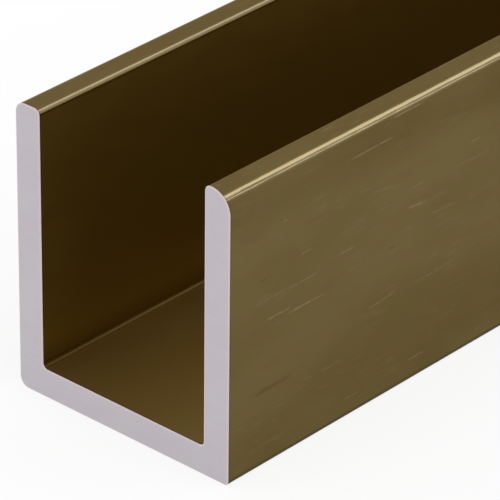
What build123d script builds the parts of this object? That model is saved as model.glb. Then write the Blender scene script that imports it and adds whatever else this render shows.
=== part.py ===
from build123d import *
import os

# A U-channel, extruded in one piece. It lies on its web with its open side up.
# Sizes are in millimetres.
# +X runs along the channel, +Y from its front leg to its back leg, and +Z up.
# The origin is on the underside of the web, halfway along and halfway across.

# Driving sizes
length = 600.0
width = 14.0  # over the outer faces of the two legs
height = 16.0  # from the underside of the web to the tips of the legs
leg_thickness = 1.6
web_thickness = 1.6

# Roundings of the section's corners. The front leg's tip is the rounder one on its outside,
# and the heel below it is the sharper one.
front_tip_radius = 1.2
back_tip_radius = 0.6
tip_inner_radius = 0.35
front_heel_radius = 0.25
back_heel_radius = 0.6
groove_corner_radius = 0.3

# Least flat left on top of a leg, between its outer and its inner rounding
least_tip_flat = 0.05


def tip_roundings(outer_radius):
    """Outer and inner radius of a leg's tip, both reduced where the leg is too thin to hold them."""
    room = leg_thickness - least_tip_flat
    share = min(1.0, room / (outer_radius + tip_inner_radius))
    return outer_radius * share, tip_inner_radius * share


def channel_section():
    """The rounded U across the channel, on the YZ plane, taken round its eight corners."""
    outer_face = width / 2
    inner_face = outer_face - leg_thickness
    front_outer, front_inner = tip_roundings(front_tip_radius)
    back_outer, back_inner = tip_roundings(back_tip_radius)
    rounded_corners = [
        ((-outer_face, 0), front_heel_radius),
        ((outer_face, 0), back_heel_radius),
        ((outer_face, height), back_outer),
        ((inner_face, height), back_inner),
        ((inner_face, web_thickness), groove_corner_radius),
        ((-inner_face, web_thickness), groove_corner_radius),
        ((-inner_face, height), front_inner),
        ((-outer_face, height), front_outer),
    ]
    corners = [corner for corner, radius in rounded_corners]
    radii = [radius for corner, radius in rounded_corners]
    outline = FilletPolyline(*corners, radius=radii, close=True)
    return Plane.YZ * make_face(outline)


def u_channel():
    """The channel: its section carried along the length, with both ends cut square."""
    return extrude(channel_section(), amount=length / 2, both=True)


os.makedirs("parts", exist_ok=True)
export_step(u_channel(), "parts/u_channel.step")
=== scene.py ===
"""A straight length of brushed bronze U-channel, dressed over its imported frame.

One closed piece stands for the channel's CAD node. It is the rounded section carried along
the length, with a fine bevel and a bare sawn face at each end. Sizes are in millimetres and
become metres where a mesh or the camera is made. Only the studio's sizes are in metres.
"""

import logging
import math
from dataclasses import dataclass
from enum import Enum, IntEnum
from typing import Any, Optional, Union

import bpy
import numpy as np
from mathutils import Matrix, Vector


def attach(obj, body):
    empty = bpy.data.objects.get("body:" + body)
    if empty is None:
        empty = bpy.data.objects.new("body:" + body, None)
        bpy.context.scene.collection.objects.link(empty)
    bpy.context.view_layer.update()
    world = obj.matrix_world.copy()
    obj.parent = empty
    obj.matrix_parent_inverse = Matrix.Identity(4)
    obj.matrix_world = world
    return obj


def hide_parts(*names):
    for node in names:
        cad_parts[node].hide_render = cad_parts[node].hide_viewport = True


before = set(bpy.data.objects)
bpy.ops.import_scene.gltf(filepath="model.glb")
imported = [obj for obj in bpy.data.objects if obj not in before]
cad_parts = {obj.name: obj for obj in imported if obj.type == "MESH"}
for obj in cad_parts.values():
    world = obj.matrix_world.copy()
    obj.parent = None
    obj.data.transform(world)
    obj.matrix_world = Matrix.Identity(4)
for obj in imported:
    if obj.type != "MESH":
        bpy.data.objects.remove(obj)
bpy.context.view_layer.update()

LOG = logging.getLogger("u_channel")
METRES_PER_MM = 0.001
QUARTER_TURN = 90.0
MIDPOINT = 0.5
WHITE = (1.0, 1.0, 1.0)
Colour = tuple[float, float, float]
Number = Union["Signal", float]


class Finish(IntEnum):
    """Place of each finish among the material slots of the channel's mesh."""

    BRONZE = 0
    BARE = 1


class Corner(IntEnum):
    """The section's eight corners, anticlockwise from the front heel."""

    FRONT_HEEL = 0
    BACK_HEEL = 1
    BACK_TIP = 2
    BACK_INNER_TIP = 3
    BACK_GROOVE = 4
    FRONT_GROOVE = 5
    FRONT_INNER_TIP = 6
    FRONT_TIP = 7


class Trait(Enum):
    """What the finishes read at each vertex of the channel, by the attribute's name."""

    # Lighter strip from rubbing along the edges; on the tips it is also a painted highlight
    RUB_AND_HIGHLIGHT = "edge_wear"
    POLISH = "edge_polish"
    GROOVE = "groove"
    CREASE = "crease"
    RIM = "cut_rim"


class Signal:
    """A number in a node tree, on which the usual operators add Math nodes."""

    def __init__(self, graph: "NodeGraph", socket: bpy.types.NodeSocket) -> None:
        """Wraps one output socket.

        Args:
            graph: The graph that the socket is in.
            socket: The output that carries the number.
        """
        self.graph = graph
        self.socket = socket

    def maths(self, operation: str, *terms: Number, clamped: bool = False) -> "Signal":
        """One Math node.

        Args:
            operation: The node's operation.
            terms: Its inputs in order, signals or plain numbers.
            clamped: Whether the result is kept between 0 and 1.

        Returns:
            The node's result.
        """
        settings = {"operation": operation, "use_clamp": clamped}
        node = self.graph.node("ShaderNodeMath", settings, dict(enumerate(terms)))
        return Signal(self.graph, node.outputs[0])

    def __add__(self, other: Number) -> "Signal":
        """This plus the other."""
        return self.maths("ADD", self, other)

    def __radd__(self, other: Number) -> "Signal":
        """The other plus this."""
        return self.maths("ADD", other, self)

    def __sub__(self, other: Number) -> "Signal":
        """This less the other."""
        return self.maths("SUBTRACT", self, other)

    def __rsub__(self, other: Number) -> "Signal":
        """The other less this."""
        return self.maths("SUBTRACT", other, self)

    def __mul__(self, other: Number) -> "Signal":
        """This times the other."""
        return self.maths("MULTIPLY", self, other)

    def __rmul__(self, other: Number) -> "Signal":
        """The other times this."""
        return self.maths("MULTIPLY", other, self)

    def __truediv__(self, other: Number) -> "Signal":
        """This divided by the other."""
        return self.maths("DIVIDE", self, other)

    def __rtruediv__(self, other: Number) -> "Signal":
        """The other divided by this."""
        return self.maths("DIVIDE", other, self)

    def __abs__(self) -> "Signal":
        """The size of this, without its sign."""
        return self.maths("ABSOLUTE", self)

    def clamped(self) -> "Signal":
        """This, kept between 0 and 1."""
        return self.maths("ADD", self, 0.0, clamped=True)

    def rising(self, low: float, high: float) -> "Signal":
        """A smooth step.

        Args:
            low: Where it leaves 0.
            high: Where it reaches 1. Below low, the step falls instead of rising.

        Returns:
            0 on one side and 1 on the other, with an eased slope between them.
        """
        turned = low > high
        first, last = (high, low) if turned else (low, high)
        inputs = {"Value": self, "From Min": first, "From Max": last}
        inputs |= {"To Min": float(turned), "To Max": float(not turned)}
        settings = {"interpolation_type": "SMOOTHSTEP"}
        node = self.graph.node("ShaderNodeMapRange", settings, inputs)
        return Signal(self.graph, node.outputs["Result"])


class NodeGraph:
    """A material's or world's node tree, filled through one method."""

    def __init__(self, tree: bpy.types.NodeTree) -> None:
        """Empties the tree.

        Args:
            tree: The tree that the nodes go into.
        """
        self.tree = tree
        tree.nodes.clear()

    def node(
        self,
        kind: str,
        settings: Optional[dict[str, Any]] = None,
        inputs: Optional[dict[Union[str, int], Any]] = None,
    ) -> bpy.types.Node:
        """Adds one node.

        Args:
            kind: The node's type.
            settings: Its own properties, which are set first.
            inputs: For each input's name or place, a signal, a socket to link or a value.

        Returns:
            The new node.
        """
        made = self.tree.nodes.new(kind)
        for name, value in (settings or {}).items():
            setattr(made, name, value)
        for key, value in (inputs or {}).items():
            socket = made.inputs[key]
            source = value.socket if isinstance(value, Signal) else value
            if isinstance(source, bpy.types.NodeSocket):
                self.tree.links.new(source, socket)
            else:
                socket.default_value = source
        return made

    def vector(self, x: Number, y: Number) -> bpy.types.NodeSocket:
        """Two numbers joined to one flat vector."""
        return self.node("ShaderNodeCombineXYZ", None, {0: x, 1: y}).outputs[0]

    def parts(self, source: bpy.types.NodeSocket) -> tuple[Signal, Signal, Signal]:
        """A vector's three numbers."""
        split = self.node("ShaderNodeSeparateXYZ", None, {0: source})
        return tuple(Signal(self, output) for output in split.outputs)

    def across_and_up(self) -> tuple[Signal, Signal]:
        """Where a point of the channel lies in its section.

        Returns:
            The distance to the back from the middle and the height, in millimetres.
        """
        place = self.node("ShaderNodeTexCoord").outputs["Object"]
        _, across, up = self.parts(place)
        return across / METRES_PER_MM, up / METRES_PER_MM

    def mixed(self, amount: Number, first: Any, second: Any) -> bpy.types.NodeSocket:
        """Two colours mixed.

        Args:
            amount: 0 for the first colour and 1 for the second.
            first: A colour or a socket that carries one.
            second: The other colour or socket.

        Returns:
            The socket with the mixed colour.
        """
        inputs = {"Factor": amount, 6: solid(first), 7: solid(second)}
        return self.node("ShaderNodeMix", {"data_type": "RGBA"}, inputs).outputs[2]

    def trait(self, trait: Trait) -> Signal:
        """One of the numbers that the channel's mesh carries."""
        node = self.node("ShaderNodeAttribute", {"attribute_name": trait.value})
        return Signal(self, node.outputs["Fac"])

    def noise(self, place: bpy.types.NodeSocket, detail: float = 2.0) -> Signal:
        """Soft noise over a flat pattern.

        Args:
            place: Where on the pattern, with one blob to each unit.
            detail: How many finer layers are added.

        Returns:
            The noise, which lies round 0.5.
        """
        inputs = {"Vector": place, "Scale": 1.0, "Detail": detail}
        node = self.node("ShaderNodeTexNoise", {"noise_dimensions": "2D"}, inputs)
        return Signal(self, node.outputs[0])

    def metal(
        self,
        tone: bpy.types.NodeSocket,
        roughness: Signal,
        relief: Signal,
        relief_strength: float,
        relief_depth: float,
        edge_tint: Colour = WHITE,
    ) -> None:
        """Joins what a metal finish is made of to the material's output.

        Args:
            tone: The colour that it reflects straight on.
            roughness: How much it blurs what it reflects.
            relief: The height of its fine relief.
            relief_strength: How much the relief tells.
            relief_depth: How deep a relief of 1 is, in millimetres.
            edge_tint: The colour of what it reflects at a grazing angle.
        """
        depth = relief_depth * METRES_PER_MM
        inputs = {"Strength": relief_strength, "Distance": depth, "Height": relief}
        bump = self.node("ShaderNodeBump", None, inputs)
        inputs = {
            "Base Color": tone,
            "Metallic": 1.0,
            "Roughness": roughness,
            "Specular Tint": solid(edge_tint),
            "Normal": bump.outputs[0],
        }
        shader = self.node("ShaderNodeBsdfPrincipled", None, inputs)
        self.node("ShaderNodeOutputMaterial", None, {0: shader.outputs[0]})


def solid(colour: Any) -> Any:
    """A colour with its alpha of 1 added, or the socket that was given instead of one."""
    return (*colour, 1.0) if isinstance(colour, tuple) else colour


def new_material(name: str) -> tuple[bpy.types.Material, NodeGraph]:
    """Makes a material that uses nodes.

    Args:
        name: The material's name.

    Returns:
        The material and its empty graph.
    """
    material = bpy.data.materials.new(name)
    material.use_nodes = True
    return material, NodeGraph(material.node_tree)


@dataclass(frozen=True)
class Ramp:
    """A smooth step over a signal, from 0 at its start to its top at its end."""

    start: float
    end: float
    top: float = 1.0

    def over(self, signal: Signal) -> Signal:
        """The step for each value of the signal."""
        step = signal.rising(self.start, self.end)
        return step if self.top == 1.0 else step * self.top


class Skin:
    """What the bronze finish reads at a point of the channel, with distances in millimetres.

    It lies so far along the channel and round its section on the map, and so far across and
    up in the section. Its distance from the end is from the one that the photograph shows.
    The groove's share is 1 inside the groove, and the outer share is 1 outside it.
    """

    def __init__(self, graph: NodeGraph, uv_name: str, half_length: float) -> None:
        """Adds the nodes that the finish reads from.

        Args:
            graph: The material's graph.
            uv_name: The map of distance along the channel and round its section.
            half_length: From the channel's middle to the end that the photograph shows.
        """
        uv = graph.node("ShaderNodeUVMap", {"uv_map": uv_name}).outputs[0]
        along, around, _ = graph.parts(uv)
        self.graph = graph
        self.along = along / METRES_PER_MM
        self.around = around / METRES_PER_MM
        self.across, self.up = graph.across_and_up()
        self.from_end = self.along + half_length
        self.groove = graph.trait(Trait.GROOVE)
        self.outer = 1.0 - self.groove


@dataclass(frozen=True)
class Pattern:
    """Soft noise on the skin, with so many blobs to a millimetre along it and round it."""

    along: float
    around: float
    shift: float = 0.0
    detail: float = 2.0

    def over(self, skin: Skin) -> Signal:
        """The noise at each point of the skin."""
        u, v = skin.along * self.along, skin.around * self.around + self.shift
        return skin.graph.noise(skin.graph.vector(u, v), self.detail)


@dataclass(frozen=True)
class Scratches:
    """Sparse straight marks along the brushing, at most one to each cell of a pattern.

    The shortest mark is a share of the longest, the faintest one a share of the strongest,
    and the tilt is the steepest slope against the brushing.
    """

    cell_along: float
    cell_across: float
    longest: float
    width: float
    share: float
    tilt: float
    offset: float
    strength: float
    shortest: float = 0.2
    faintest: float = 0.4
    scatter: float = 0.9
    fade_along: Ramp = Ramp(1.0, 0.4)
    fade_across: Ramp = Ramp(1.0, 0.2)

    def mask(self, skin: Skin) -> Signal:
        """How much of a mark lies at each point.

        The pattern's cells are drawn out along the brushing. A mark is centred on its cell's
        point. It covers the places whose distance along, over its own half length, and
        distance across, over its half width, are both under 1. The cell's random colour
        sets its length, its tilt and whether it is there.

        Args:
            skin: What the finish reads.

        Returns:
            A mark's strength on its middle, falling to 0 at its rim.
        """
        graph = skin.graph
        u = skin.along / self.cell_along + self.offset
        v = skin.around / self.cell_across + self.offset
        cell = graph.node(
            "ShaderNodeTexVoronoi",
            {"voronoi_dimensions": "2D", "feature": "F1"},
            {"Vector": graph.vector(u, v), "Scale": 1.0, "Randomness": self.scatter},
        )
        centre_u, centre_v, _ = graph.parts(cell.outputs["Position"])
        chance, size, lean = graph.parts(cell.outputs["Color"])
        run = (u - centre_u) * self.cell_along
        slope = (lean - MIDPOINT) * (2 * self.tilt)
        drop = (v - centre_v) * self.cell_across - run * slope
        half_length = (size * (1 - self.shortest) + self.shortest) * (self.longest / 2)
        reach = self.fade_along.over(abs(run) / half_length)
        body = self.fade_across.over(abs(drop) / (self.width / 2))
        there = chance.maths("LESS_THAN", chance, self.share)
        strength = (size * (1 - self.faintest) + self.faintest) * self.strength
        return reach * body * there * strength


@dataclass(frozen=True)
class Mark:
    """One scratch on the front leg's outer face, near the end that the photograph shows.

    It starts and ends so far from the cut end, at a height over the heel, and climbs by its
    rise from its start to its end.
    """

    start: float
    end: float
    height: float
    strength: float
    width: float = 0.12
    rise: float = 0.0
    fade_along: Ramp = Ramp(1.0, 0.5)

    def mask(self, skin: Skin) -> Signal:
        """How much of this scratch lies at each point.

        It is 1 on the line from its start to its end, and falls to 0 at half its width to
        each side and over the outer half of its length.

        Args:
            skin: What the finish reads.

        Returns:
            The scratch's mask, times its strength.
        """
        middle = (self.start + self.end) / 2
        half = (self.end - self.start) / 2
        run = (skin.from_end - middle) / half
        drop = abs(skin.up - self.height - run * (self.rise / 2))
        body = drop.rising(self.width / 2, 0.0)
        return self.fade_along.over(abs(run)) * body * self.strength


LIGHT_MARKS = (
    Mark(8.1, 12.0, 14.50, 0.75, rise=0.06),
    Mark(11.5, 14.5, 15.42, 0.90, width=0.08),
    Mark(3.8, 4.1, 13.05, 0.60),
    Mark(7.4, 8.5, 12.60, 0.20, rise=-0.10),
    Mark(9.2, 10.4, 12.35, 0.16, width=0.20, rise=-0.15),
    Mark(10.2, 11.9, 11.90, 0.16, width=0.20, rise=-0.25),
    Mark(17.6, 18.5, 11.90, 0.40),
    Mark(11.7, 12.3, 11.66, 0.30),
    Mark(10.6, 11.5, 11.10, 0.20),
    Mark(13.2, 14.3, 11.09, 0.45),
    Mark(16.6, 19.4, 10.90, 0.22, width=0.22, rise=-0.15),
    Mark(5.0, 5.9, 10.74, 0.55),
    Mark(7.8, 9.3, 10.67, 0.18),
    Mark(12.9, 14.5, 10.00, 0.75, width=0.17, rise=-0.14),
    Mark(14.8, 15.9, 9.92, 0.20),
    Mark(7.8, 9.1, 9.58, 0.50, width=0.14),
    Mark(1.5, 4.4, 9.28, 0.24, width=0.18),
    Mark(4.0, 6.5, 9.23, 0.50),
    Mark(14.6, 16.7, 9.00, 0.26, width=0.18, rise=-0.12),
    Mark(12.3, 13.7, 8.92, 0.14, width=0.30),
    Mark(2.6, 4.6, 8.13, 0.80),
    Mark(4.0, 7.1, 7.86, 0.85, rise=-0.05),
    Mark(10.1, 12.4, 5.64, 0.50, rise=0.20),
    Mark(13.2, 16.8, 5.60, 0.22, width=0.20),
    Mark(5.3, 6.2, 3.58, 0.26),
    Mark(6.6, 8.4, 3.55, 0.14, width=0.25),
    Mark(13.2, 14.7, 1.27, 0.50, width=0.14),
    Mark(8.5, 9.5, 1.12, 0.45),
)
DARK_MARKS = (
    Mark(1.4, 4.8, 4.30, 0.42, width=0.42),
    Mark(2.0, 2.7, 10.45, 0.40, width=0.16),
    Mark(11.5, 12.2, 8.36, 0.35, width=0.20),
    Mark(0.4, 3.4, 15.65, 0.75, width=0.06, rise=-0.04),
)
LONG_SCRATCHES = Scratches(
    cell_along=7.0,
    cell_across=1.3,
    longest=4.0,
    width=0.12,
    share=0.32,
    tilt=0.03,
    offset=3.7,
    strength=0.4675,
)
SHORT_SCRATCHES = Scratches(
    cell_along=2.6,
    cell_across=1.0,
    longest=1.3,
    width=0.13,
    share=0.22,
    tilt=0.05,
    offset=11.3,
    strength=0.34,
)
DARK_SCRATCHES = Scratches(
    cell_along=8.0,
    cell_across=1.6,
    longest=5.0,
    width=0.20,
    share=0.35,
    tilt=0.02,
    offset=23.1,
    strength=0.25,
)


@dataclass(frozen=True)
class BrushedBronze:
    """Bronze anodising on aluminium, brushed along the length outside and smoother inside."""

    # Colours of the outside and the groove, with painted light and shade, of the edges'
    # rubbing and painted highlights, of scratches and of the darkest places
    # Lighter and darker copies of the outside, mixed by random clouds and, as painted light and
    # shade, by height
    light: Colour = (0.160, 0.118, 0.047)
    deep: Colour = (0.126, 0.088, 0.030)
    reddish: Colour = (0.148, 0.099, 0.042)
    # The groove: a more golden copy of the bronze painted for how the groove is lit, with
    # painted shade at the walls' feet
    wall: Colour = (0.290, 0.184, 0.036)
    shaded_foot: Colour = (0.220, 0.133, 0.026)
    lit_bed: Colour = (0.296, 0.219, 0.076)
    # Lighter colour of scuffed skin and of the brushing's light streaks, and of the painted
    # highlights on the tips
    rubbed_and_highlit: Colour = (0.230, 0.184, 0.102)
    scratched: Colour = (0.325, 0.262, 0.145)
    # Darkest colour: dark streaks and scratches, the painted shade at the heels and the darker
    # strip at the cuts
    dull: Colour = (0.070, 0.050, 0.018)
    # Painted shade in the groove's corners
    crease: Colour = (0.042, 0.022, 0.003)
    edge_tint: Colour = (0.64, 0.60, 0.54)

    # Gloss and relief
    roughness: float = 0.30
    edge_roughness: float = 0.08
    inside_roughness: float = 0.46
    uneven_roughness: float = 0.06
    relief_strength: float = 0.05
    relief_depth: float = 0.02
    streak_relief: float = 0.5
    edge_relief: float = 1.5

    # Noise patterns
    clouds: Pattern = Pattern(along=0.11, around=0.22, shift=5.0)
    patches: Pattern = Pattern(along=0.35, around=0.9, shift=9.0)
    streaks: Pattern = Pattern(along=0.25, around=9.0)
    flecks: Pattern = Pattern(along=0.7, around=4.5, shift=31.0, detail=3.0)
    clusters: Pattern = Pattern(along=0.22, around=0.5, shift=47.0, detail=1.0)
    broken: Pattern = Pattern(along=0.8, around=14.0, detail=3.0)
    ragged: Pattern = Pattern(along=2.5, around=7.0, detail=3.0)

    # Where each colour is laid over the others and how much of it, over a noise, a height or
    # a distance
    cloud_light: Ramp = Ramp(0.3, 0.7, 0.45)
    # Painted light and shade by height: lighter from the heel up to just under the tips, and on
    # the tops
    light_from_below: Ramp = Ramp(0.0, 9.0, 0.55)
    light_up_to: Ramp = Ramp(14.4, 12.4)
    tip_light: Ramp = Ramp(15.4, 15.9, 0.33)
    reddish_patches: Ramp = Ramp(0.5, 0.75, 0.4)
    # Heights over which the painted shade at the groove walls' feet fades out
    foot_shade_height: Ramp = Ramp(3.2, 1.9)
    bed_height: Ramp = Ramp(1.85, 1.62)
    light_streaks: float = 0.12
    dark_streaks: float = 0.10
    in_clusters: Ramp = Ramp(0.42, 0.68)
    light_flecks: Ramp = Ramp(0.50, 0.80, 0.22)
    # How much of the strip of rubbing and painted highlight shows, and how unevenly
    least_rub_and_highlight: float = 0.8
    uneven_rub_and_highlight: float = 0.6
    crease_share: float = 0.95
    dark_strip_share: float = 0.5
    fillet_top: Ramp = Ramp(1.98, 1.85)
    fillet_bottom: Ramp = Ramp(1.60, 1.66)
    fillet_shade: Ramp = Ramp(9.0, 0.0, 0.32)
    # Painted shade along the heels' outer edges
    heel_height: Ramp = Ramp(0.42, 0.18, 0.85)
    heel_side: Ramp = Ramp(6.6, 6.8)
    front_face: Ramp = Ramp(-6.0, -6.2)
    shown_length: Ramp = Ramp(20.5, 18.5)
    shown_strength: float = 0.76
    ragged_gaps: Ramp = Ramp(0.2, 0.6)
    uv_name: str = "along_and_round"

    def material(self, half_length: float) -> bpy.types.Material:
        """Builds the finish.

        Args:
            half_length: From the channel's middle to the end that the photograph shows.

        Returns:
            The material, whose patterns follow the piece's own map.
        """
        material, graph = new_material("brushed_bronze")
        skin = Skin(graph, self.uv_name, half_length)
        patches, streaks = self.patches.over(skin), self.streaks.over(skin)
        broken, polish = self.broken.over(skin), graph.trait(Trait.POLISH)
        pale, dark = self.scratches(skin)
        tone = self.anodised_and_painted_light(skin, patches)
        tone = self.brushed(skin, tone, streaks)
        tone = self.handled_and_highlit(skin, tone, broken, pale, dark)
        tone = self.shaded(skin, tone)
        rough = self.roughness + skin.groove * (self.inside_roughness - self.roughness)
        rough = rough + (patches - MIDPOINT) * self.uneven_roughness
        rough = rough + polish * (self.edge_roughness - rough)
        relief = streaks * skin.outer * self.streak_relief
        relief = relief + broken * polish * self.edge_relief + pale
        graph.metal(
            tone, rough, relief, self.relief_strength, self.relief_depth, self.edge_tint
        )
        return material

    def anodised_and_painted_light(self, skin: Skin, patches: Signal) -> bpy.types.NodeSocket:
        """The colour of the anodising, with random clouds and painted light in a wide band
        outside.

        Args:
            skin: What the finish reads.
            patches: The noise that the reddish patches follow.

        Returns:
            The colour outside, and in the groove that of its walls, their feet in painted
            shade and its floor, a more golden copy of the bronze painted for how the groove is
            lit.
        """
        graph, up = skin.graph, skin.up
        # Random clouds plus painted light and shade by height: darker at the heel and just
        # under the tips
        shade = self.cloud_light.over(self.clouds.over(skin)) + self.tip_light.over(up)
        shade = shade + self.light_from_below.over(up) * self.light_up_to.over(up)
        outside = graph.mixed(shade, self.deep, self.light)
        outside = graph.mixed(self.reddish_patches.over(patches), outside, self.reddish)
        # Groove in a more golden copy painted for how it is lit, with painted shade at the
        # walls' feet
        inside = graph.mixed(self.foot_shade_height.over(up), self.wall, self.shaded_foot)
        inside = graph.mixed(self.bed_height.over(up), inside, self.lit_bed)
        return graph.mixed(skin.groove, outside, inside)

    def brushed(
        self, skin: Skin, tone: bpy.types.NodeSocket, streaks: Signal
    ) -> bpy.types.NodeSocket:
        """Lays the brushing over the outside.

        Args:
            skin: What the finish reads.
            tone: The colour under it.
            streaks: The noise that the brushing follows.

        Returns:
            The colour with light and dark streaks and clusters of light flecks.
        """
        graph, outer = skin.graph, skin.outer
        light = ((streaks - MIDPOINT) * self.light_streaks * outer).clamped()
        tone = graph.mixed(light, tone, self.rubbed_and_highlit)
        clusters = self.in_clusters.over(self.clusters.over(skin))
        flecks = self.light_flecks.over(self.flecks.over(skin))
        tone = graph.mixed(clusters * flecks * outer, tone, self.rubbed_and_highlit)
        dark = ((MIDPOINT - streaks) * self.dark_streaks * outer).clamped()
        return graph.mixed(dark, tone, self.dull)

    def handled_and_highlit(
        self,
        skin: Skin,
        tone: bpy.types.NodeSocket,
        broken: Signal,
        pale: Signal,
        dark: Signal,
    ) -> bpy.types.NodeSocket:
        """Lays rubbing and painted highlights over the edges, and scratches over the outside.

        Args:
            skin: What the finish reads.
            tone: The colour under them.
            broken: The noise that makes the rubbing and painted highlight uneven.
            pale: The mask of the light scratches.
            dark: The mask of the dark ones.

        Returns:
            The colour of the skin with its rubbing, painted highlights and scratches.
        """
        graph = skin.graph
        # Strip of rubbing along the edges, on the front tip and the back inner tip a painted
        # highlight
        edge_highlight_and_rub = graph.trait(Trait.RUB_AND_HIGHLIGHT) * (broken * self.uneven_rub_and_highlight + self.least_rub_and_highlight)
        tone = graph.mixed(edge_highlight_and_rub.clamped(), tone, self.rubbed_and_highlit)
        tone = graph.mixed((pale * skin.outer).clamped(), tone, self.scratched)
        return graph.mixed((dark * skin.outer).clamped(), tone, self.dull)

    def shaded(self, skin: Skin, tone: bpy.types.NodeSocket) -> bpy.types.NodeSocket:
        """Darkens the groove's corners, the skin at the cuts and the edges of the heels.

        The groove's corners are darker toward the end that the photograph shows.

        Args:
            skin: What the finish reads.
            tone: The colour under it.

        Returns:
            The finished colour.
        """
        graph, up = skin.graph, skin.up
        # Painted shade in the groove's corners
        creased = graph.trait(Trait.CREASE) * self.crease_share
        tone = graph.mixed(creased, tone, self.crease)
        # A darker strip of skin beside each cut end
        dark_strip = graph.trait(Trait.RIM) * self.dark_strip_share
        tone = graph.mixed(dark_strip, tone, self.dull)
        # More painted shade on the groove's corner fillets, fading away from the first cut end
        fillet = self.fillet_top.over(up) * self.fillet_bottom.over(up) * skin.groove
        near_end = self.fillet_shade.over(skin.from_end)
        tone = graph.mixed(fillet * near_end, tone, self.crease)
        # Painted shade along the heels' outer edges, where they meet the floor
        heel = self.heel_height.over(up) * self.heel_side.over(abs(skin.across))
        return graph.mixed(heel, tone, self.dull)

    def scratches(self, skin: Skin) -> tuple[Signal, Signal]:
        """The scratches: those that the photograph shows, and sparse random ones elsewhere.

        Args:
            skin: What the finish reads.

        Returns:
            The mask of the light scratches and that of the dark ones.
        """
        shown = self.front_face.over(skin.across) * self.shown_length.over(skin.from_end)
        elsewhere = 1.0 - shown
        ragged = self.ragged_gaps.over(self.ragged.over(skin))
        pale = shown * self.strongest(LIGHT_MARKS, skin) * self.shown_strength
        dark = shown * self.strongest(DARK_MARKS, skin)
        pale = pale + elsewhere * (LONG_SCRATCHES.mask(skin) + SHORT_SCRATCHES.mask(skin))
        dark = dark + elsewhere * DARK_SCRATCHES.mask(skin)
        return pale * ragged, dark * ragged

    def strongest(self, marks: tuple[Mark, ...], skin: Skin) -> Signal:
        """The strongest of several scratches at each point.

        Args:
            marks: The scratches.
            skin: What the finish reads.

        Returns:
            Their joint mask.
        """
        joint = marks[0].mask(skin)
        for mark in marks[1:]:
            joint = joint.maths("MAXIMUM", joint, mark.mask(skin))
        return joint


@dataclass(frozen=True)
class BareAluminium:
    """The sawn metal of the cut ends, with a brighter rim on the bevel, a painted highlight.

    The painted highlight is brightest on the front leg's inner edge. The saw's lines run
    across the cut and climb a little, with so many of them to a millimetre of height.
    """

    face: Colour = (0.582, 0.545, 0.585)
    marked: Colour = (0.480, 0.455, 0.480)
    cloudy: Colour = (0.592, 0.565, 0.585)
    # Painted highlight on the bevel's rim
    rim: Colour = (0.700, 0.600, 0.595)
    # Brighter painted highlight on the front leg's inner edge
    painted_glint: Colour = (0.840, 0.720, 0.740)
    roughness: float = 0.50
    uneven_roughness: float = 0.1
    relief_strength: float = 0.04
    relief_depth: float = 0.01
    lines_across: float = 0.5
    lines_climb: float = 0.15
    lines_up: float = 7.0
    cloud_scale: float = 0.3
    line_depth: Ramp = Ramp(0.3, 0.8, 0.1)
    cloud_depth: Ramp = Ramp(0.35, 0.7, 0.5)
    rim_highlight_share: float = 0.7
    painted_glint_side: Ramp = Ramp(-5.0, -5.3)

    def material(self) -> bpy.types.Material:
        """Builds the finish.

        Returns:
            The material, with faint saw marks across the cut.
        """
        material, graph = new_material("bare_aluminium")
        across, up = graph.across_and_up()
        slant = across * self.lines_across + up * self.lines_climb
        lines = graph.noise(graph.vector(slant, up * self.lines_up))
        cloud = graph.noise(graph.vector(across * self.cloud_scale, up * self.cloud_scale))
        tone = graph.mixed(self.line_depth.over(lines), self.face, self.marked)
        tone = graph.mixed(self.cloud_depth.over(cloud), tone, self.cloudy)
        edge = graph.trait(Trait.RIM)
        facing_back = graph.trait(Trait.GROOVE) * self.painted_glint_side.over(across)
        # Painted highlights along the bevel, brightest on the front leg's inner edge
        tone = graph.mixed(edge * self.rim_highlight_share, tone, self.rim)
        tone = graph.mixed(edge * facing_back, tone, self.painted_glint)
        rough = self.roughness + (lines - MIDPOINT) * self.uneven_roughness
        graph.metal(tone, rough, lines, self.relief_strength, self.relief_depth)
        return material


@dataclass(frozen=True)
class Rounding:
    """One rounded corner of the section, and how much rubbing and painted highlight it shows.

    The rubbing is strongest round its turn, an angle on the corner's arc in degrees, and
    the spread says how wide that strip is. On the tips the strip is also a painted highlight.
    """

    radius: float
    rub_and_highlight: float = 0.0
    polish: float = 0.0
    rub_and_highlight_turn: float = 45.0
    rub_and_highlight_spread: float = 8.0


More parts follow.
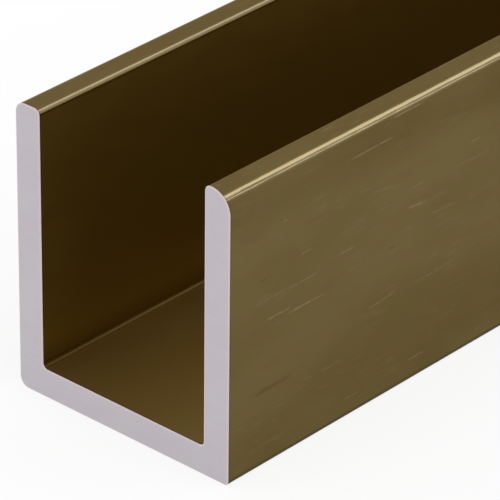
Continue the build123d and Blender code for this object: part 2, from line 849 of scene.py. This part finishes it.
@dataclass(frozen=True)
class ChannelSection:
    """The rounded U across the channel, from the driving sizes of the part's source."""

    width: float = 14.0
    height: float = 16.0
    wall: float = 1.6
    front_heel: Rounding = Rounding(0.25, rub_and_highlight=0.25, polish=1.0)
    back_heel: Rounding = Rounding(0.6, rub_and_highlight=0.25, polish=1.0)
    back_tip: Rounding = Rounding(0.6, rub_and_highlight=0.4, polish=1.0)
    # Its strip sits lower and wider, mostly a painted highlight
    back_inner_tip: Rounding = Rounding(
        0.35, rub_and_highlight=0.9, polish=0.6, rub_and_highlight_turn=52.0, rub_and_highlight_spread=18.0
    )
    groove_corner: Rounding = Rounding(0.3)
    front_inner_tip: Rounding = Rounding(0.35, rub_and_highlight=0.3, polish=1.0)
    # Its strip lies where the lamp's highlight falls, partly a painted highlight
    front_tip: Rounding = Rounding(1.2, rub_and_highlight=1.0, polish=1.0)
    creased_turn: float = 60.0
    creased_spread: float = 24.0
    arc_steps: int = 30
    margin: float = 0.02

    def roundings(self) -> tuple[Rounding, ...]:
        """How each corner is rounded.

        Returns:
            One rounding to each corner, in the order of Corner.
        """
        return (
            self.front_heel,
            self.back_heel,
            self.back_tip,
            self.back_inner_tip,
            self.groove_corner,
            self.groove_corner,
            self.front_inner_tip,
            self.front_tip,
        )

    def corners(self) -> np.ndarray:
        """Where the section's corners would be if they were square.

        Returns:
            One row of across and up to each corner, in the order of Corner.
        """
        outer, inner = self.width / 2, self.width / 2 - self.wall
        across = [-outer, outer, outer, inner, inner, -inner, -inner, -outer]
        top = self.height
        up = [0.0, 0.0, top, top, self.wall, self.wall, top, top]
        return np.stack([across, up], axis=1)

    def outline(self) -> tuple[np.ndarray, np.ndarray]:
        """The rounded outline.

        At a square corner C, with the unit direction A in and B out and the radius R, the
        arc's point at the angle t is C - RA + RB - RB cos t + RA sin t, for t from 0 to a
        quarter turn. One more point lies a small margin before each arc and one after it,
        so that the flats stay flat where they are shaded smooth. The way out of the metal
        is B turned to A by t, on a left turn, and the opposite of it on a right turn.

        Returns:
            The points, corner by corner, and the unit way out of the metal at each.
        """
        corner = self.corners()
        radius = np.array([rounding.radius for rounding in self.roundings()])
        way_in = corner - np.roll(corner, 1, axis=0)
        way_in /= np.linalg.norm(way_in, axis=1, keepdims=True)
        way_out = np.roll(way_in, -1, axis=0)
        turn = np.linspace(0.0, math.pi / 2, self.arc_steps + 1)[None, :, None]
        a, b = way_in[:, None, :], way_out[:, None, :]
        c, r = corner[:, None, :], radius[:, None, None]
        normal = a * np.sin(turn) - b * np.cos(turn)
        arc = c - r * a + r * b + r * normal
        arc = np.concatenate(
            [arc[:, :1] - self.margin * a, arc, arc[:, -1:] + self.margin * b], axis=1
        )
        normal = np.concatenate([normal[:, :1], normal, normal[:, -1:]], axis=1)
        left = way_in[:, 0] * way_out[:, 1] - way_in[:, 1] * way_out[:, 0] > 0
        outward = np.where(left[:, None, None], normal, -normal)
        return arc.reshape(-1, 2), outward.reshape(-1, 2)

    def traits(self) -> dict[Trait, np.ndarray]:
        """What the finish reads at each point of the outline, corner by corner.

        With t the angle turned on a corner's arc, the strip of rubbing and painted highlight
        is the corner's own amount times exp(-d**4), where d is t less the angle where the strip
        is strongest, over the spread. The polish is the corner's own amount times the square
        root of sin 2t. The crease is exp(-d**2) in the groove's corners, nearer the floor than
        the wall. The groove's share rises from 0 to 1 over the back leg's inner tip and falls
        again over the front leg's.

        Returns:
            One value to each point, for each trait but the rim.
        """
        turn = np.linspace(0.0, 1.0, self.arc_steps + 1)
        angle = QUARTER_TURN * turn
        table = [[r.rub_and_highlight, r.polish, r.rub_and_highlight_turn, r.rub_and_highlight_spread] for r in self.roundings()]
        rub_and_highlight, polish, rub_and_highlight_turn, rub_and_highlight_spread = np.array(table).T[:, :, None]
        strip = np.exp(-(((angle - rub_and_highlight_turn) / rub_and_highlight_spread) ** 4))
        arch = np.sqrt(np.clip(np.sin(math.pi * turn), 0.0, 1.0))
        fold = np.exp(-(((angle - self.creased_turn) / self.creased_spread) ** 2))
        crease, groove = np.zeros((2, len(Corner), turn.size))
        crease[Corner.BACK_GROOVE] = fold
        crease[Corner.FRONT_GROOVE] = fold[::-1]
        groove[Corner.BACK_INNER_TIP] = turn**4
        groove[[Corner.BACK_GROOVE, Corner.FRONT_GROOVE]] = 1.0
        groove[Corner.FRONT_INNER_TIP] = turn[::-1] ** 4
        curves = {
            Trait.RUB_AND_HIGHLIGHT: rub_and_highlight * strip,
            Trait.POLISH: polish * arch,
            Trait.CREASE: crease,
            Trait.GROOVE: groove,
        }
        return {
            trait: np.pad(rows, ((0, 0), (1, 1)), mode="edge").ravel()
            for trait, rows in curves.items()
        }

    def travelled(self) -> np.ndarray:
        """Distance round the outline.

        Returns:
            The distance at each point, and once more at the first one's return.
        """
        points, _ = self.outline()
        steps = np.linalg.norm(np.roll(points, -1, axis=0) - points, axis=1)
        return np.concatenate([[0.0], np.cumsum(steps)])

    def ladder(self) -> tuple[np.ndarray, np.ndarray]:
        """The points of the outside and of the groove that face each other across the wall.

        Returns:
            The outline's indices from the front tip round the outside to the back tip, and
            those facing them in the groove.
        """
        block = np.arange(len(self.outline()[0])).reshape(len(Corner), -1)
        outer = [Corner.FRONT_TIP, Corner.FRONT_HEEL, Corner.BACK_HEEL, Corner.BACK_TIP]
        inner = [
            Corner.FRONT_INNER_TIP,
            Corner.FRONT_GROOVE,
            Corner.BACK_GROOVE,
            Corner.BACK_INNER_TIP,
        ]
        return block[outer].ravel(), block[inner, ::-1].ravel()


@dataclass(frozen=True)
class ChannelStock:
    """The channel itself: its section carried along the length between two sawn ends."""

    section: ChannelSection = ChannelSection()
    length: float = 600.0
    bevel: float = 0.05
    rim: float = 0.06
    # Width of the darker strip of skin beside each cut end
    dark_strip: float = 0.12
    spans: int = 24
    sharp_angle: float = 30.0
    finish: BrushedBronze = BrushedBronze()
    cut_finish: BareAluminium = BareAluminium()

    def stations(self) -> tuple[np.ndarray, np.ndarray, np.ndarray]:
        """Where the rings stand.

        Each end has a ring inside its rim, one where the bevel meets the flat, one where the
        bevel meets the skin and one where the darker strip of skin beside the cut stops.

        Returns:
            Each ring's place along the channel, how far it is inset, and its rim value.
        """
        half = self.length / 2
        skin = half - self.bevel
        inner = np.linspace(-skin + self.dark_strip, skin - self.dark_strip, self.spans + 1)
        places = np.concatenate([[-half, -half, -skin], inner, [skin, half, half]])
        insets, rims = np.zeros(places.size), np.zeros(places.size)
        insets[[1, -2]] = self.bevel
        insets[[0, -1]] = self.bevel + self.rim
        rims[[1, 2, -3, -2]] = 1.0
        return places, insets, rims

    def vertices(self) -> np.ndarray:
        """The rings' points: the section at each station, less its inset along the way out.

        Returns:
            One row of along, across and up to each point, ring by ring.
        """
        places, insets, _ = self.stations()
        points, outward = self.section.outline()
        ring = points[None] - insets[:, None, None] * outward[None]
        along = np.broadcast_to(places[:, None, None], (*ring.shape[:2], 1))
        return np.concatenate([along, ring], axis=2).reshape(-1, 3)

    def faces(self) -> tuple[np.ndarray, np.ndarray, np.ndarray]:
        """Four-sided faces of the skin and of both ends.

        A skin face joins the points j and j + 1 of the rings i and i + 1. An end's face
        joins two steps of the ladder between the outside and the groove.

        Returns:
            The faces as rows of four indices, each face's finish, and each corner's place
            in the map as distance along and distance round, in millimetres.
        """
        places, _, _ = self.stations()
        count = len(self.section.outline()[0])
        travelled = self.section.travelled()
        i, j = np.meshgrid(np.arange(places.size - 1), np.arange(count), indexing="ij")
        ring, next_ring, k = i * count, (i + 1) * count, (j + 1) % count
        skin = np.stack([ring + j, ring + k, next_ring + k, next_ring + j], 2)
        skin_map = np.stack(
            [
                np.stack([places[i], places[i], places[i + 1], places[i + 1]], 2),
                np.stack([travelled[j], travelled[j + 1], travelled[j + 1], travelled[j]], 2),
            ],
            3,
        )
        outside, inside = self.section.ladder()
        near = np.stack([outside[:-1], inside[:-1], inside[1:], outside[1:]], 1)
        far = near[:, ::-1] + (places.size - 1) * count
        flat = self.vertices()[:, 1:]
        finish = np.full(skin.shape[:2], Finish.BRONZE.value)
        finish[[0, 1, -2, -1]] = Finish.BARE.value
        rows = np.concatenate([skin.reshape(-1, 4), near, far])
        kinds = np.concatenate([finish.ravel(), np.full(2 * len(near), Finish.BARE.value)])
        chart = np.concatenate([skin_map.reshape(-1, 4, 2), flat[near], flat[far]])
        return rows, kinds, chart

    def mesh(self) -> bpy.types.Mesh:
        """Makes the closed mesh, in metres.

        Returns:
            The mesh with its map, its traits and its two finishes.
        """
        rows, kinds, chart = self.faces()
        mesh = bpy.data.meshes.new("channel_stock")
        mesh.from_pydata((self.vertices() * METRES_PER_MM).tolist(), [], rows.tolist())
        mesh.materials.append(self.finish.material(self.length / 2))
        mesh.materials.append(self.cut_finish.material())
        mesh.polygons.foreach_set("material_index", kinds.astype(np.int32))
        layer = mesh.uv_layers.new(name=self.finish.uv_name)
        layer.uv.foreach_set("vector", (chart * METRES_PER_MM).astype(np.float32).ravel())
        places, _, rims = self.stations()
        for trait, values in self.section.traits().items():
            self.paint(mesh, trait, np.tile(values, places.size))
        self.paint(mesh, Trait.RIM, np.repeat(rims, len(self.section.outline()[0])))
        mesh.shade_smooth()
        mesh.set_sharp_from_angle(angle=math.radians(self.sharp_angle))
        mesh.validate()
        mesh.update()
        return mesh

    def paint(self, mesh: bpy.types.Mesh, trait: Trait, values: np.ndarray) -> None:
        """Gives each vertex a number that the finishes read.

        Args:
            mesh: The channel's mesh.
            trait: What the number says.
            values: One number to each vertex.
        """
        layer = mesh.attributes.new(trait.value, "FLOAT", "POINT")
        layer.data.foreach_set("value", values.astype(np.float32))

    def build(self) -> bpy.types.Object:
        """Makes the piece and lets it stand for the CAD node.

        Returns:
            The channel's object.
        """
        piece = bpy.data.objects.new("channel_stock", self.mesh())
        bpy.context.scene.collection.objects.link(piece)
        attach(piece, "root")
        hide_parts("u_channel")
        return piece


@dataclass(frozen=True)
class StripLamp:
    """A strip lamp along the channel, seen from it between two angles over the horizon.

    The angles are in degrees. The radiance is how bright it is, where the surround is 1. It
    stands at its reach from the channel, with its middle so far along it.
    """

    name: str
    low: float
    high: float
    radiance: float
    reach: float = 0.9
    length: float = 1.3
    middle: float = 0.45

    def build(self) -> bpy.types.Object:
        """Makes the lamp, with its longer side along the channel.

        Returns:
            The lamp's object.
        """
        angle = math.radians((self.low + self.high) / 2)
        width = 2 * self.reach * math.tan(math.radians(self.high - self.low) / 2)
        data = bpy.data.lights.new(self.name, "AREA")
        data.shape = "RECTANGLE"
        data.size, data.size_y = self.length, width
        data.energy = self.radiance * math.pi * self.length * width
        out = Vector((0.0, -math.cos(angle), math.sin(angle)))
        side = Vector((1.0, 0.0, 0.0))
        place = Vector((self.middle, 0.0, 0.0)) + out * self.reach
        turn = Matrix((side, out.cross(side), out)).transposed()
        lamp = bpy.data.objects.new(self.name, data)
        lamp.matrix_world = Matrix.Translation(place) @ turn.to_4x4()
        lamp.visible_camera = False
        bpy.context.scene.collection.objects.link(lamp)
        return lamp


@dataclass(frozen=True)
class Studio:
    """A pale floor, an even white surround and two soft lamps.

    The floor is partly lit of its own: by its glow for the camera, and by its glow in metal
    for what the channel mirrors.
    """

    floor_half: float = 20.0
    floor_colour: Colour = (0.94, 0.94, 0.94)
    glow: float = 0.82
    glow_in_metal: float = 0.75
    lamps: tuple[StripLamp, ...] = (
        StripLamp("edge_lamp", low=51.5, high=65.2, radiance=1.83),
        StripLamp("thin_lamp", low=40.2, high=43.6, radiance=1.64),
    )

    def floor_material(self) -> bpy.types.Material:
        """Builds the floor's finish.

        Returns:
            The material: pale and dull, with its two glows.
        """
        material, graph = new_material("pale_floor")
        dull = graph.node("ShaderNodeBsdfDiffuse", None, {"Color": solid(self.floor_colour)})
        white = graph.node("ShaderNodeEmission", None, {"Color": solid(WHITE), "Strength": 1.0})
        rays = graph.node("ShaderNodeLightPath").outputs
        seen = Signal(graph, rays["Is Camera Ray"]) * self.glow
        for ray in ("Is Glossy Ray", "Is Transmission Ray"):
            seen = seen.maths("MAXIMUM", seen, Signal(graph, rays[ray]) * self.glow_in_metal)
        inputs = {0: seen, 1: dull.outputs[0], 2: white.outputs[0]}
        mixed = graph.node("ShaderNodeMixShader", None, inputs)
        graph.node("ShaderNodeOutputMaterial", None, {0: mixed.outputs[0]})
        return material

    def floor(self) -> bpy.types.Object:
        """Makes the floor, one flat square under the channel.

        Returns:
            The floor's object.
        """
        side = np.array([-1.0, 1.0]) * self.floor_half
        x, y = np.meshgrid(side, side)
        points = np.stack([x.ravel(), y.ravel(), np.zeros(4)], 1)
        mesh = bpy.data.meshes.new("floor")
        mesh.from_pydata(points.tolist(), [], [(0, 1, 3, 2)])
        mesh.materials.append(self.floor_material())
        floor = bpy.data.objects.new("floor", mesh)
        bpy.context.scene.collection.objects.link(floor)
        return floor

    def surround(self) -> None:
        """Sets the world: an even white at strength 1."""
        world = bpy.data.worlds.new("white_surround")
        world.use_nodes = True
        graph = NodeGraph(world.node_tree)
        inputs = {"Color": solid(WHITE), "Strength": 1.0}
        background = graph.node("ShaderNodeBackground", None, inputs)
        graph.node("ShaderNodeOutputWorld", None, {0: background.outputs[0]})
        bpy.context.scene.world = world

    def build(self) -> None:
        """Sets the surround, the floor and the lamps, and logs each."""
        self.surround()
        LOG.info("surround %s", bpy.context.scene.world.name)
        LOG.info("floor %s", self.floor().name)
        for lamp in self.lamps:
            LOG.info("lamp %s", lamp.build().name)


@dataclass(frozen=True)
class PhotoCamera:
    """The camera of the photograph, set by its angle to the channel's near cut end.

    The angles are in degrees. The camera stands so far from the end's origin, and then to
    its own right and up, and sees from the nearest to the furthest distance.
    """

    azimuth: float = -48.2309
    elevation: float = 29.3997
    roll: float = 0.6074
    distance: float = 219.904
    rightward: float = 6.2745
    upward: float = 9.0539
    lens: float = 322.99
    sensor: float = 36.0
    end: float = -300.0
    nearest: float = 10.0
    furthest: float = 100000.0

    def build(self) -> bpy.types.Object:
        """Makes the camera and gives it to the scene.

        Returns:
            The camera's object.
        """
        side, rise = math.radians(self.azimuth), math.radians(self.elevation)
        level = math.cos(rise)
        back = Vector((math.sin(side) * level, -math.cos(side) * level, math.sin(rise)))
        right = Vector((0.0, 0.0, 1.0)).cross(back).normalized()
        up = back.cross(right)
        turn = math.radians(self.roll)
        right, up = (
            right * math.cos(turn) + up * math.sin(turn),
            up * math.cos(turn) - right * math.sin(turn),
        )
        data = bpy.data.cameras.new("photo_camera")
        data.sensor_width = self.sensor
        data.lens = self.lens
        data.clip_start = self.nearest * METRES_PER_MM
        data.clip_end = self.furthest * METRES_PER_MM
        camera = bpy.data.objects.new("photo_camera", data)
        place = Vector((self.end, 0.0, 0.0)) + back * self.distance
        place += right * self.rightward + up * self.upward
        turned = Matrix((right, up, back)).transposed().to_4x4()
        camera.matrix_world = Matrix.Translation(place * METRES_PER_MM) @ turned
        bpy.context.scene.collection.objects.link(camera)
        bpy.context.scene.camera = camera
        return camera


def main() -> None:
    """Builds the channel and what stands round it, and logs each."""
    logging.basicConfig(level=logging.INFO, format="%(name)s: %(message)s")
    bpy.context.scene.view_settings.view_transform = "Standard"
    LOG.info("camera %s", PhotoCamera().build().name)
    piece = ChannelStock().build()
    LOG.info("%s with %d faces", piece.name, len(piece.data.polygons))
    Studio().build()


if __name__ == "__main__":
    main()
